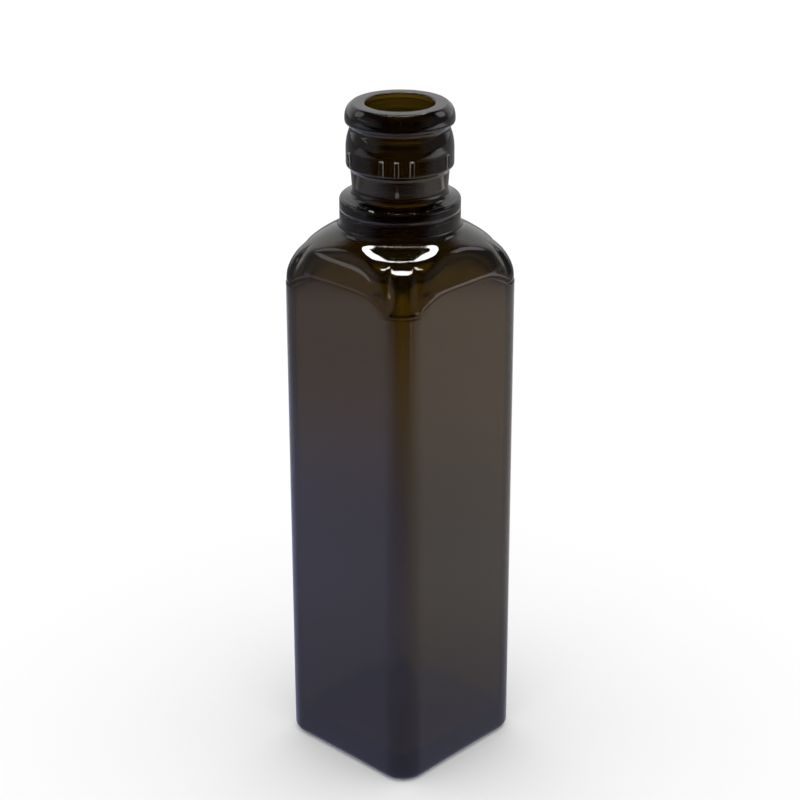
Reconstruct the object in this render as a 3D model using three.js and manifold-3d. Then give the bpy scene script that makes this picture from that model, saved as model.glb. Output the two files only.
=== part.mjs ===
// Marasca bottle: a square glass bottle with a domed shoulder, a round collar,
// a short neck and a pourer finish. Millimetres, +Z up, origin at the middle of
// the base on the surface it stands on. The four faces look along +X, +Y, -X, -Y.

import * as THREE from 'three';
import { mergeVertices } from 'three/addons/utils/BufferGeometryUtils.js';
import Module from 'manifold-3d';

const wasm = await Module();
wasm.setup();

// Body, a square with rounded corners
const BODY_HALF_WIDTH = 24;
const BODY_CORNER_RADIUS = 7;
const HEEL_RADIUS = 2.5;
const FOOT_RING_WIDTH = 4;
const PUSH_UP = 2;

// Shoulder: a turned dome cut by four leaning facets, one over each face. The
// dome is a tight arc, a flat arc and a cone. A facet starts with a lean at an
// arched line, and the ridge between two facets widens into the dome.
const DOME_START = 139.7;
const DOME_ARC_RADIUS = 12.7;
const DOME_ARC_TURN = THREE.MathUtils.degToRad(54);
const CONE_ARC_RADIUS = 55;
const CONE_ARC_TURN = THREE.MathUtils.degToRad(63);
const FACET_ARCH_TOP = 144.5;
const FACET_LEAN = THREE.MathUtils.degToRad(11.3);
const FACET_ARC_RADIUS = 28;
const ARCH_REACH_SHARE = 0.75;
const ARCH_DROP = 4.2;
const ARCH_POWER = 5;
const ARCH_SOFTNESS = 0.15;
const STEEPEST_SINE = 0.97;
const RIDGE_ARC_END = THREE.MathUtils.degToRad(35);
const RIDGE_BLEND_START = 144;
const RIDGE_BLEND_END = 150.5;
const RIDGE_SOFTNESS = 0.6;

// Collar, the stepped round ring under the neck
const COLLAR_FOOT_RADIUS = 17.5;
const COLLAR_RADIUS = 16.3;
const COLLAR_SIDE_START = 157.2;
const COLLAR_GROOVE_HEIGHT = 160.4;
const COLLAR_GROOVE_DEPTH = 0.35;
const COLLAR_EDGE_RADIUS = 1.1;
const COLLAR_TOP = 164;
const COLLAR_TOP_RISE = 0.4;

// Neck and the finish on it: a band with small teeth, a groove and the lip
const NECK_RADIUS = 12.9;
const NECK_FILLET_REACH = 1.1;
const NECK_FILLET_TOP = 166.9;
const NECK_TAPER = 0.35;
const BAND_BOTTOM = 172.4;
const BAND_UNDER_FILLET = 0.7;
const BAND_EDGE_RADIUS = 1;
const BAND_RADIUS = 14.45;
const BAND_CURVE_START = 177;
const BAND_CURVE_KNEE = 180.2;
const BAND_TOP = 182.6;
const BAND_TOP_RADIUS = 13.4;
const GROOVE_RADIUS = 13.25;
const GROOVE_HEIGHT = 183.3;
const LIP_BOTTOM = 184.1;
const LIP_BOTTOM_RADIUS = 13.7;
const LIP_RADIUS = 14.7;
const LIP_WIDEST = 185.3;
const LIP_KNEE = 187.9;
const LIP_EDGE_RADIUS = 13.4;
const LIP_EDGE_HEIGHT = 188.9;
const LIP_CROWN_RADIUS = 12.4;
const RIM_RADIUS = 9.95;
const TOTAL_HEIGHT = 189.5;

// Inside: the bore at the mouth, the blown neck below it and the wall
const BORE_RADIUS = 9.25;
const BORE_TOP = 188.7;
const BORE_BOTTOM = 184.8;
const NECK_INSIDE_RADIUS = 10;
const NECK_INSIDE_TOP = 183.6;
const NECK_FLARE_START = 165;
const NECK_FLARE_END_RADIUS = 13.2;
const WALL = 3;
const INSIDE_CORNER_RADIUS = 4.2;
const BASE_GLASS = 4.4;
const INSIDE_HEEL_RADIUS = 5;
const INSIDE_FLOOR_MARGIN = 1;

// Teeth on the band, given as angles from the tooth in the middle
const TOOTH_WIDTH = 1.1;
const TOOTH_HEIGHT = 4.2;
const TOOTH_TOP = 177.5;
const TOOTH_RADIUS = 14.95;
const TOOTH_ROOT_RADIUS = 13.6;
const TOOTH_MIDDLE_ANGLE = -49.8;
const TOOTH_ANGLES = [-117, -63, -16, 0, 16, 63, 117, 164, 180, 196];

// How finely the surfaces are divided
const HALF_FACE_STEPS = 4;
const HALF_CORNER_STEPS = 4;
const CURVE_STEPS = 3;
const HEEL_STEPS = 4;
const INSIDE_HEEL_STEPS = 3;
const SHOULDER_STEPS = 14;
const INSIDE_SHOULDER_STEPS = 8;
const FLOOR_RING_SHARES = [0.35, 0.7, 1];

const QUARTER = Math.PI / 2;
const EIGHTH = Math.PI / 4;

// Distance from the axis to a rounded square, along a direction that lies
// `angle` away from the nearest face's normal.
function roundedSquareRadius(halfWidth, cornerRadius, angle) {
  const flatHalf = halfWidth - cornerRadius;
  if (halfWidth * Math.tan(angle) <= flatHalf) {
    return halfWidth / Math.cos(angle);
  }
  const cornerCentre = flatHalf * Math.SQRT2;
  const fromDiagonal = EIGHTH - angle;
  const across = cornerCentre * Math.sin(fromDiagonal);
  return cornerCentre * Math.cos(fromDiagonal) + Math.sqrt(cornerRadius ** 2 - across ** 2);
}

// The smaller of two radii, with a rounded change-over of the given softness.
function softMinimum(first, second, softness) {
  const share = THREE.MathUtils.clamp(0.5 + (second - first) / (2 * softness), 0, 1);
  const rounding = softness * share * (1 - share);
  return THREE.MathUtils.lerp(second, first, share) - rounding;
}

// One skin of the body and shoulder, outside or inside.
class BodySkin {
  constructor(halfWidth, cornerRadius, inset) {
    this.halfWidth = halfWidth;
    this.cornerRadius = cornerRadius;
    this.arcRadius = DOME_ARC_RADIUS - inset;
    this.coneArcRadius = CONE_ARC_RADIUS - inset;
    this.facetArcRadius = FACET_ARC_RADIUS - inset;
    this.diagonal = roundedSquareRadius(halfWidth, cornerRadius, EIGHTH);
    this.arcEndRadius = this.diagonal - this.arcRadius * (1 - Math.cos(DOME_ARC_TURN));
    this.arcEndHeight = DOME_START + this.arcRadius * Math.sin(DOME_ARC_TURN);
    const coneFall = this.coneArcRadius * (Math.cos(DOME_ARC_TURN) - Math.cos(CONE_ARC_TURN));
    const coneRise = this.coneArcRadius * (Math.sin(CONE_ARC_TURN) - Math.sin(DOME_ARC_TURN));
    this.coneRadius = this.arcEndRadius - coneFall;
    this.coneHeight = this.arcEndHeight + coneRise;
  }

  outlineRadius(angle) {
    return roundedSquareRadius(this.halfWidth, this.cornerRadius, angle);
  }

  // Radius of the turned dome: a tight arc up from the corner, a flat arc, a cone.
  domeRadius(height) {
    if (height >= this.coneHeight) {
      return this.coneRadius - (height - this.coneHeight) * Math.tan(CONE_ARC_TURN);
    }
    if (height >= this.arcEndHeight) {
      const rise = (height - this.arcEndHeight) / this.coneArcRadius;
      const cosine = Math.sqrt(1 - (Math.sin(DOME_ARC_TURN) + rise) ** 2);
      return this.arcEndRadius - this.coneArcRadius * (Math.cos(DOME_ARC_TURN) - cosine);
    }
    const sine = (height - DOME_START) / this.arcRadius;
    return this.diagonal - this.arcRadius * (1 - Math.sqrt(1 - sine ** 2));
  }

  heightAtDomeRadius(radius) {
    return this.coneHeight + (this.coneRadius - radius) / Math.tan(CONE_ARC_TURN);
  }

  // Radius of the facet over the nearest face: an arc in height, which starts
  // at the arched line. The line drops towards the corners of the body.
  facetRadius(angle, height) {
    const acrossShare = Math.min(Math.tan(angle) / ARCH_REACH_SHARE, 1);
    const aboveArch = height - FACET_ARCH_TOP + ARCH_DROP * acrossShare ** ARCH_POWER;
    const sine = Math.min(Math.sin(FACET_LEAN) + aboveArch / this.facetArcRadius, STEEPEST_SINE);
    const drop = this.facetArcRadius * (Math.cos(FACET_LEAN) - Math.sqrt(1 - sine ** 2));
    return (this.halfWidth - drop) / Math.cos(angle);
  }

  // The corner's own arc seen from above, carried on past it as a straight line.
  cornerSectionRadius(angle) {
    const centre = (this.halfWidth - this.cornerRadius) * Math.SQRT2;
    const fromCorner = EIGHTH - angle;
    const endAcross = this.cornerRadius * Math.sin(RIDGE_ARC_END);
    const endAlong = centre + this.cornerRadius * Math.cos(RIDGE_ARC_END);
    if (fromCorner > Math.atan2(endAcross, endAlong)) {
      const fromAxis = centre * Math.cos(RIDGE_ARC_END) + this.cornerRadius;
      return fromAxis / Math.cos(RIDGE_ARC_END - fromCorner);
    }
    const across = centre * Math.sin(fromCorner);
    return centre * Math.cos(fromCorner) + Math.sqrt(this.cornerRadius ** 2 - across ** 2);
  }

  shoulderRadius(angle, height) {
    const dome = this.domeRadius(height);
    const share = THREE.MathUtils.smoothstep(height, RIDGE_BLEND_START, RIDGE_BLEND_END);
    const corner = this.cornerSectionRadius(angle) - (this.diagonal - dome);
    const ridge = THREE.MathUtils.lerp(corner, dome, share);
    const facet = this.facetRadius(angle, height);
    const panel = softMinimum(this.outlineRadius(angle), facet, ARCH_SOFTNESS);
    return softMinimum(panel, ridge, RIDGE_SOFTNESS);
  }
}

// Directions round the axis, closer together at the corners of the body.
function ringDirections() {
  const tangent = Math.atan((BODY_HALF_WIDTH - BODY_CORNER_RADIUS) / BODY_HALF_WIDTH);
  const half = [];
  for (let step = 0; step < HALF_FACE_STEPS; step += 1) {
    half.push((tangent * step) / HALF_FACE_STEPS);
  }
  for (let step = 0; step < HALF_CORNER_STEPS; step += 1) {
    half.push(tangent + ((EIGHTH - tangent) * step) / HALF_CORNER_STEPS);
  }
  const directions = [];
  for (let face = 0; face < 4; face += 1) {
    for (const angle of half) {
      directions.push({ azimuth: face * QUARTER + angle, fromFace: angle });
    }
    directions.push({ azimuth: face * QUARTER + EIGHTH, fromFace: EIGHTH });
    for (const angle of half.slice(1).reverse()) {
      directions.push({ azimuth: (face + 1) * QUARTER - angle, fromFace: angle });
    }
  }
  return directions;
}

const directions = ringDirections();

// A ring is one closed row of points; radiusAt takes the angle from the face.
function ring(height, radiusAt) {
  return directions.map(({ azimuth, fromFace }) => {
    const radius = radiusAt(fromFace);
    return new THREE.Vector3(radius * Math.cos(azimuth), radius * Math.sin(azimuth), height);
  });
}

// Round rings along a turned outline, drawn as radius against height. Its
// first point is left out, because the shoulder's last ring is already there.
function turnedRings(path) {
  const points = path.getPoints(CURVE_STEPS).slice(1);
  return points.map((point) => ring(point.y, () => point.x));
}

// Rings of a rounded heel: an outline that turns in to a flat below it.
function heelRings(skin, radius, floor, steps) {
  const rings = [];
  for (let step = 0; step <= steps; step += 1) {
    const turn = (QUARTER * step) / steps;
    const inset = radius * (1 - Math.sin(turn));
    const height = floor + radius * (1 - Math.cos(turn));
    rings.push(ring(height, (angle) => skin.outlineRadius(angle) - inset));
  }
  return rings;
}

function shoulderRings(skin, topRadius, steps) {
  const topHeight = skin.heightAtDomeRadius(topRadius);
  const rings = [];
  for (let step = 0; step <= steps; step += 1) {
    const height = THREE.MathUtils.lerp(DOME_START, topHeight, step / steps);
    rings.push(ring(height, (angle) => skin.shoulderRadius(angle, height)));
  }
  return rings;
}

// The hollow under the base, or the floor inside: a shallow dome of rings.
function domedFloorRings(skin, inset, rimHeight) {
  const rings = [];
  for (const share of FLOOR_RING_SHARES) {
    const height = rimHeight + PUSH_UP * (1 - share ** 2);
    rings.push(ring(height, (angle) => share * (skin.outlineRadius(angle) - inset)));
  }
  return rings;
}

// Outline of the collar, neck, band and lip, from the shoulder to the mouth
function outsidePath() {
  const cone = (radius) => outside.heightAtDomeRadius(radius);
  const landHeight = COLLAR_TOP + COLLAR_TOP_RISE;
  const crownMiddle = (LIP_EDGE_RADIUS + LIP_CROWN_RADIUS) / 2;
  const path = new THREE.Path();
  path.moveTo(COLLAR_FOOT_RADIUS, cone(COLLAR_FOOT_RADIUS));
  path.quadraticCurveTo(COLLAR_RADIUS, cone(COLLAR_RADIUS), COLLAR_RADIUS, COLLAR_SIDE_START);
  path.lineTo(COLLAR_RADIUS, COLLAR_GROOVE_HEIGHT - COLLAR_GROOVE_DEPTH);
  path.lineTo(COLLAR_RADIUS - COLLAR_GROOVE_DEPTH, COLLAR_GROOVE_HEIGHT);
  path.lineTo(COLLAR_RADIUS, COLLAR_GROOVE_HEIGHT + COLLAR_GROOVE_DEPTH);
  path.lineTo(COLLAR_RADIUS, COLLAR_TOP - COLLAR_EDGE_RADIUS);
  path.quadraticCurveTo(COLLAR_RADIUS, COLLAR_TOP, COLLAR_RADIUS - COLLAR_EDGE_RADIUS, COLLAR_TOP);
  path.lineTo(NECK_RADIUS + NECK_FILLET_REACH, landHeight);
  path.quadraticCurveTo(NECK_RADIUS, landHeight, NECK_RADIUS, NECK_FILLET_TOP);
  path.lineTo(NECK_RADIUS + NECK_TAPER, BAND_BOTTOM - BAND_UNDER_FILLET);
  path.lineTo(NECK_RADIUS + BAND_UNDER_FILLET, BAND_BOTTOM);
  path.quadraticCurveTo(BAND_RADIUS, BAND_BOTTOM, BAND_RADIUS, BAND_BOTTOM + BAND_EDGE_RADIUS);
  path.lineTo(BAND_RADIUS, BAND_CURVE_START);
  path.quadraticCurveTo(BAND_RADIUS, BAND_CURVE_KNEE, BAND_TOP_RADIUS, BAND_TOP);
  path.lineTo(GROOVE_RADIUS, GROOVE_HEIGHT);
  path.lineTo(LIP_BOTTOM_RADIUS, LIP_BOTTOM);
  path.quadraticCurveTo(LIP_RADIUS, LIP_BOTTOM, LIP_RADIUS, LIP_WIDEST);
  path.quadraticCurveTo(LIP_RADIUS, LIP_KNEE, LIP_EDGE_RADIUS, LIP_EDGE_HEIGHT);
  path.quadraticCurveTo(crownMiddle, TOTAL_HEIGHT, LIP_CROWN_RADIUS, TOTAL_HEIGHT);
  path.lineTo(RIM_RADIUS, TOTAL_HEIGHT);
  path.quadraticCurveTo(BORE_RADIUS, TOTAL_HEIGHT, BORE_RADIUS, BORE_TOP);
  return path;
}

// Outline of the inside from the shoulder up the neck to the top of the bore
function insidePath() {
  const cone = (radius) => inside.heightAtDomeRadius(radius);
  const path = new THREE.Path();
  path.moveTo(NECK_FLARE_END_RADIUS, cone(NECK_FLARE_END_RADIUS));
  path.quadraticCurveTo(NECK_INSIDE_RADIUS, cone(NECK_INSIDE_RADIUS), NECK_INSIDE_RADIUS, NECK_FLARE_START);
  path.lineTo(NECK_INSIDE_RADIUS, NECK_INSIDE_TOP);
  path.lineTo(BORE_RADIUS, BORE_BOTTOM);
  return path;
}

const outside = new BodySkin(BODY_HALF_WIDTH, BODY_CORNER_RADIUS, 0);
const inside = new BodySkin(BODY_HALF_WIDTH - WALL, INSIDE_CORNER_RADIUS, WALL);

// A closed skin through all rings, from the middle of the base up the outside,
// over the lip and down the inside to the middle of the floor.
function loftedGeometry(bottomCentre, rings, floorCentre) {
  const positions = [];
  const quad = (a, b, c, d) => {
    positions.push(...a.toArray(), ...b.toArray(), ...c.toArray());
    positions.push(...a.toArray(), ...c.toArray(), ...d.toArray());
  };
  const count = directions.length;
  for (let index = 0; index < count; index += 1) {
    const next = (index + 1) % count;
    const first = rings[0];
    const last = rings[rings.length - 1];
    positions.push(...bottomCentre.toArray(), ...first[next].toArray(), ...first[index].toArray());
    positions.push(...floorCentre.toArray(), ...last[index].toArray(), ...last[next].toArray());
    for (let row = 0; row + 1 < rings.length; row += 1) {
      const lower = rings[row];
      const upper = rings[row + 1];
      quad(lower[index], lower[next], upper[next], upper[index]);
    }
  }
  const geometry = new THREE.BufferGeometry();
  geometry.setAttribute('position', new THREE.Float32BufferAttribute(positions, 3));
  return geometry;
}

function toSolid(geometry) {
  const bare = geometry.clone();
  bare.deleteAttribute('normal');
  bare.deleteAttribute('uv');
  const merged = mergeVertices(bare);
  const mesh = new wasm.Mesh({
    numProp: 3,
    vertProperties: new Float32Array(merged.attributes.position.array),
    triVerts: new Uint32Array(merged.index.array),
  });
  return new wasm.Manifold(mesh);
}

function toGeometry(solid) {
  const mesh = solid.getMesh();
  const geometry = new THREE.BufferGeometry();
  geometry.setAttribute('position', new THREE.BufferAttribute(mesh.vertProperties, 3));
  geometry.setIndex(new THREE.BufferAttribute(mesh.triVerts, 1));
  geometry.computeVertexNormals();
  return geometry;
}

function glassShell() {
  const footInset = HEEL_RADIUS + FOOT_RING_WIDTH;
  const outsideRings = [
    ...domedFloorRings(outside, footInset, 0),
    ...heelRings(outside, HEEL_RADIUS, 0, HEEL_STEPS),
    ...shoulderRings(outside, COLLAR_FOOT_RADIUS, SHOULDER_STEPS),
    ...turnedRings(outsidePath()),
  ];
  const insideRings = [
    ...domedFloorRings(inside, INSIDE_HEEL_RADIUS + INSIDE_FLOOR_MARGIN, BASE_GLASS),
    ...heelRings(inside, INSIDE_HEEL_RADIUS, BASE_GLASS, INSIDE_HEEL_STEPS),
    ...shoulderRings(inside, NECK_FLARE_END_RADIUS, INSIDE_SHOULDER_STEPS),
    ...turnedRings(insidePath()),
  ];
  const bottomCentre = new THREE.Vector3(0, 0, PUSH_UP);
  const floorCentre = new THREE.Vector3(0, 0, BASE_GLASS + PUSH_UP);
  return loftedGeometry(bottomCentre, [...outsideRings, ...insideRings.reverse()], floorCentre);
}

// One tooth: a small upright block rooted in the band.
function toothGeometry(angleDegrees) {
  const depth = TOOTH_RADIUS - TOOTH_ROOT_RADIUS;
  const block = new THREE.BoxGeometry(depth, TOOTH_WIDTH, TOOTH_HEIGHT);
  block.translate(TOOTH_ROOT_RADIUS + depth / 2, 0, TOOTH_TOP - TOOTH_HEIGHT / 2);
  block.rotateZ(THREE.MathUtils.degToRad(TOOTH_MIDDLE_ANGLE + angleDegrees));
  return block;
}

function bottleGeometry() {
  let solid = toSolid(glassShell());
  for (const angle of TOOTH_ANGLES) {
    solid = solid.add(toSolid(toothGeometry(angle)));
  }
  return toGeometry(solid);
}

const glass = new THREE.MeshStandardMaterial({
  color: new THREE.Color(0x2e2a14),
  roughness: 0.08,
  metalness: 0,
});

const bottle = new THREE.Mesh(bottleGeometry(), glass);
bottle.name = 'bottle';

const part = new THREE.Group();
part.add(bottle);

export default part;
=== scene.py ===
"""A square marasca bottle in dark antique-green glass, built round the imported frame.

Everything is in metres, +Z up, with the origin in the middle of the bottle's base.
"""

import math
from typing import NamedTuple

import bmesh
import bpy
import numpy as np
from mathutils import Matrix, Vector


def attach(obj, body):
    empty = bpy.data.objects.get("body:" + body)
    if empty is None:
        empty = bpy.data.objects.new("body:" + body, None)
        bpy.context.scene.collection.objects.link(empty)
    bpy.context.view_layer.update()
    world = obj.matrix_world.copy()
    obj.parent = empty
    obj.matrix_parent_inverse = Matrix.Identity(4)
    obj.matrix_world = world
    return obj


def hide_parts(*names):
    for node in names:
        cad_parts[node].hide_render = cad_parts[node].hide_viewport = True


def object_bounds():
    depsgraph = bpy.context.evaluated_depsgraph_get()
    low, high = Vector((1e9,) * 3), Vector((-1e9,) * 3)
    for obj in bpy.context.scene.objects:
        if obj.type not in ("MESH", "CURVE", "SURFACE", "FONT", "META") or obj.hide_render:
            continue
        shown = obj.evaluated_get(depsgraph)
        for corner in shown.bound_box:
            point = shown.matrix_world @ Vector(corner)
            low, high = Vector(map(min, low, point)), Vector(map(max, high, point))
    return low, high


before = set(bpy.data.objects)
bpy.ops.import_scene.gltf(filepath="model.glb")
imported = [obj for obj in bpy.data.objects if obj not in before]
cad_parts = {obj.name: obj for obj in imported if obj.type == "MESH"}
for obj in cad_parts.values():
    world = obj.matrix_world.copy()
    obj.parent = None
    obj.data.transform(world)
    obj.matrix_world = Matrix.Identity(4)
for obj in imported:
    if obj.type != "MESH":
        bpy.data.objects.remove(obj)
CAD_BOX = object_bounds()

bl_info = {
    "name": "Marasca Bottle",
    "version": (1, 0, 0),
    "blender": (4, 5, 0),
    "location": "View3D > Sidebar > Bottle",
    "description": "Makes a square glass bottle with a pourer finish, and a studio for it",
    "category": "Add Mesh",
}

MM = 0.001
QUARTER = math.pi / 2
EIGHTH = math.pi / 4


class Fade(NamedTuple):
    """A smooth change of brightness, from start to end, between two places on a stage piece."""

    low: float
    high: float
    start: float
    end: float


class SoftLight(NamedTuple):
    """A glowing card: its middle to the right, away and up, its size, and its share of the light."""

    name: str
    middle: tuple
    width: float
    length: float
    colour: tuple
    share: float


# The dome of the shoulder and the facets that cut it, as in the frame's solid
DOME_START = 139.7 * MM
DOME_ARC_TURN = math.radians(54)
CONE_ARC_RADIUS = 55 * MM
CONE_ARC_TURN = math.radians(63)
RIDGE_ARC_END = math.radians(35)
RIDGE_BLEND_START = 144 * MM
RIDGE_BLEND_END = 150.5 * MM
FACET_LEAN = math.radians(11.3)
FACET_ARC_RADIUS = 28 * MM
ARCH_REACH_SHARE = 0.75
ARCH_DROP = 4.2 * MM
ARCH_POWER = 5
RIDGE_SOFTNESS = 0.6 * MM
ARCH_SOFTNESS = 0.15 * MM
STEEPEST_SINE = 0.97

# The base: its heel, the ring that it stands on and the hollow inside that ring
HEEL_RADIUS = 2.5 * MM
FOOT_RING_WIDTH = 4 * MM
PUSH_UP = 2 * MM
BASE_GLASS = 4.4 * MM
INSIDE_CORNER_RADIUS = 4.2 * MM
INSIDE_HEEL_RADIUS = 5 * MM
INSIDE_FLOOR_MARGIN = 1 * MM

# Heights and radii of the collar, neck, band and lip that aren't properties
COLLAR_FOOT_RADIUS = 17.5 * MM
COLLAR_SIDE_START = 157.2 * MM
COLLAR_GROOVE_HEIGHT = 160.4 * MM
COLLAR_GROOVE_DEPTH = 0.35 * MM
COLLAR_EDGE_RADIUS = 1.1 * MM
COLLAR_TOP = 164 * MM
COLLAR_TOP_RISE = 0.4 * MM
NECK_FILLET_REACH = 1.1 * MM
NECK_FILLET_TOP = 166.9 * MM
NECK_TAPER = 0.35 * MM
BAND_BOTTOM = 172.4 * MM
BAND_UNDER_FILLET = 0.7 * MM
BAND_EDGE_RADIUS = 1 * MM
BAND_CURVE_START = 177 * MM
BAND_CURVE_KNEE = 180.2 * MM
BAND_TOP = 182.6 * MM
BAND_TOP_RADIUS = 13.4 * MM
GROOVE_RADIUS = 13.25 * MM
GROOVE_HEIGHT = 183.3 * MM
LIP_BOTTOM = 184.1 * MM
LIP_BOTTOM_RADIUS = 13.7 * MM
LIP_WIDEST = 185.3 * MM
LIP_KNEE = 187.9 * MM
LIP_EDGE_RADIUS = 13.4 * MM
LIP_EDGE_HEIGHT = 188.9 * MM
LIP_CROWN_RADIUS = 12.4 * MM
RIM_RADIUS = 9.95 * MM
BORE_TOP = 188.7 * MM
BORE_BOTTOM = 184.8 * MM
NECK_INSIDE_RADIUS = 10 * MM
NECK_INSIDE_TOP = 183.6 * MM
NECK_FLARE_START = 165 * MM
NECK_FLARE_END_RADIUS = 13.2 * MM

# Teeth on the band, at angles from the tooth in the middle of the pattern
TOOTH_WIDTH = 1.1 * MM
TOOTH_BOTTOM = 173.3 * MM
TOOTH_TOP = 177.5 * MM
TOOTH_EDGE = 0.22 * MM
TOOTH_LEDGE = 0.5 * MM
TOOTH_FROM_AXIS = 14.7 * MM
TOOTH_MIDDLE_ANGLE = math.radians(-49.8)
TOOTH_ANGLES = [math.radians(a) for a in (-117, -63, -16, 0, 16, 63, 117, 164, 180, 196)]

# The small raised pip on the neck and the parting seams on two corners
PIP_ANGLE = math.radians(-49.5)
PIP_HEIGHT = 168.1 * MM
PIP_HALF_WIDTH = 0.45 * MM
PIP_HALF_HEIGHT = 0.85 * MM
PIP_RELIEF = 0.25 * MM
# Share of painted highlight on the pip, strongest at the top of its relief
PIP_GLINT = 0.4
SEAM_ANGLES = [math.radians(a) for a in (-41.6, 138.4)]
SEAM_FROM_AXIS = 29 * MM
SEAM_HALF_WIDTH = 0.22 * MM
SEAM_RELIEF = 0.12 * MM
SEAM_TOP = DOME_START
SEAM_FADE = 16 * MM

# How finely the glass is divided
FACE_STEP = math.radians(2.4)
CORNER_STEP = math.radians(1.05)
CORNER_ZONE = math.radians(33)
CLOSEST_STEP = math.radians(0.12)
PIP_STEP = math.radians(0.6)
PIP_STEPS = 6
EDGE_MARKS = (-1, -0.5, 0, 0.5, 1)
CURVE_STEPS = 9
FINISH_SPACING = 0.55 * MM
BODY_SPACING = 9 * MM
ARCH_ZONE_TOP = 145.2 * MM
ARCH_ZONE_STEPS = 26
SHOULDER_STEPS = 20
INSIDE_SHOULDER_STEPS = 22
FINE_SPACING = 0.08 * MM
FINE_REACH = 0.3 * MM
HEEL_STEPS = 8
FLOOR_STEPS = 7

# The ripples and smears of the glass, and the colour of the highlight painted on the edges of the
# teeth and on the pip
RIPPLE_SCALE = 55
RIPPLE_DETAIL = 1.5
RIPPLE_STRENGTH = 0.6
SMEAR_SCALE = 140
SMEAR_DETAIL = 4
SMOOTHEST = 0.02
ROUGHEST = 0.06
PAINTED_GLINT_COLOUR = (0.9, 0.85, 0.82)

# The whites of the stage, and the sizes of its cards, floor and room in metres
WHITE = (1, 1, 1)
WARM_WHITE = (1, 0.98, 0.95)
FLOOR_WHITE = (0.93, 0.93, 0.93)
FLOOR_REACH = 6
PAPER_REACH = 3
PAPER_UNDER_FLOOR = 0.5 * MM
ROOM_RADIUS = 6
ROOM_ROUNDNESS = 4
CARD_CORNERS = ((-1, -1), (1, -1), (1, 1), (-1, 1))

# The paper under the bottle as the glass reflects it, and the pale floor past the paper's end
PAPER_FRONT = Fade(-0.42, -0.1, 0.03, 1)
PAPER_NEAR = Fade(0.04, 0.14, 0.62, 0.82)
PAPER_END = Fade(0.38, 0.44, 1, 0.4)
PAPER_LEFT = Fade(-0.33, -0.2, 0.75, 1)
LIT_SIDE = Fade(-0.4, 0.4, 0.45, 1.2)
PALE_RING_START = Fade(0.422, 0.432, 0, 0.7)
PALE_RING_END = Fade(0.443, 0.449, 1, 0)
HORIZON_START = Fade(0.6, 0.85, 0, 1)
HORIZON_IN_FRONT = Fade(-0.7, -0.3, 0, 1)
HORIZON_BEHIND = Fade(0.1, 0.4, 1, 0)
WARM_SIDE = Fade(-0.02, 0.12, 0, 1)
WARM_REACH = Fade(0.15, 0.4, 0, 0.7)
COOL_PAPER = (0.72, 0.74, 1.1)
WARM_PAPER = (0.98, 0.93, 0.92)

# The floor as it is seen through the glass
SEEN_SHADE = Fade(0.12, 0.27, 0.35, 1)
SEEN_LEFT = Fade(-0.12, 0.03, 0.5, 1)
SEEN_END = Fade(0.36, 0.41, 1, 0.15)
SEEN_FAR_FLOOR = Fade(0.445, 0.465, 0, 0.3)

# The backdrop and the walls of the room, as shares of its radius
BACKDROP_BEHIND = (0.35, 0.75)
BACKDROP_TOP = Fade(0.55, 0.8, 1, 0)
WALL_REACH = (0.5, 0.9)
BACKDROP_SEEN_THROUGH = 0.3

# The lights, in metres from the middle of the bottle's base
LIGHT_TARGET_HEIGHT = 0.15
SOFT_LIGHTS = (
    SoftLight("strip_above", (0, -0.02, 1.35), 0.6, 0.07, WHITE, 1),
    SoftLight("side_light_left", (-1.0, 0.4, 0.8), 0.5, 0.4, WARM_WHITE, 0.045),
    SoftLight("side_light_right", (1.0, 0.4, 0.8), 0.5, 0.4, WARM_WHITE, 0.06),
    SoftLight("strip_left", (-1.2, -0.05, 0.46), 0.06, 0.5, WARM_WHITE, 0.06),
)
RING_LIGHT_AWAY = 0.65
RING_LIGHT_HEIGHT = 1.35
RING_LIGHT_RADIUS = 0.5
RING_LIGHT_STEPS = 32
RING_LIGHT_THIN = 0.012
RING_LIGHT_WIDE = 0.075
RING_LIGHT_WIDENS_AT = 0.3
RING_LIGHT_WIDENS_OVER = 0.35

# Where the camera stands, and its lens
CAMERA_AZIMUTH = math.radians(43.82)
CAMERA_PITCH = math.radians(21.672)
CAMERA_ROLL = math.radians(-0.122)
CAMERA_DISTANCE = 535.73 * MM
CAMERA_HEIGHT = 337.33 * MM
CAMERA_SIDE = -0.106 * MM
CAMERA_LENS_MM = 94.7
CAMERA_SENSOR_MM = 36
CAMERA_SHIFT_Y = -0.0848
CAMERA_NEAREST = 0.01
CAMERA_FURTHEST = 50


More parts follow.
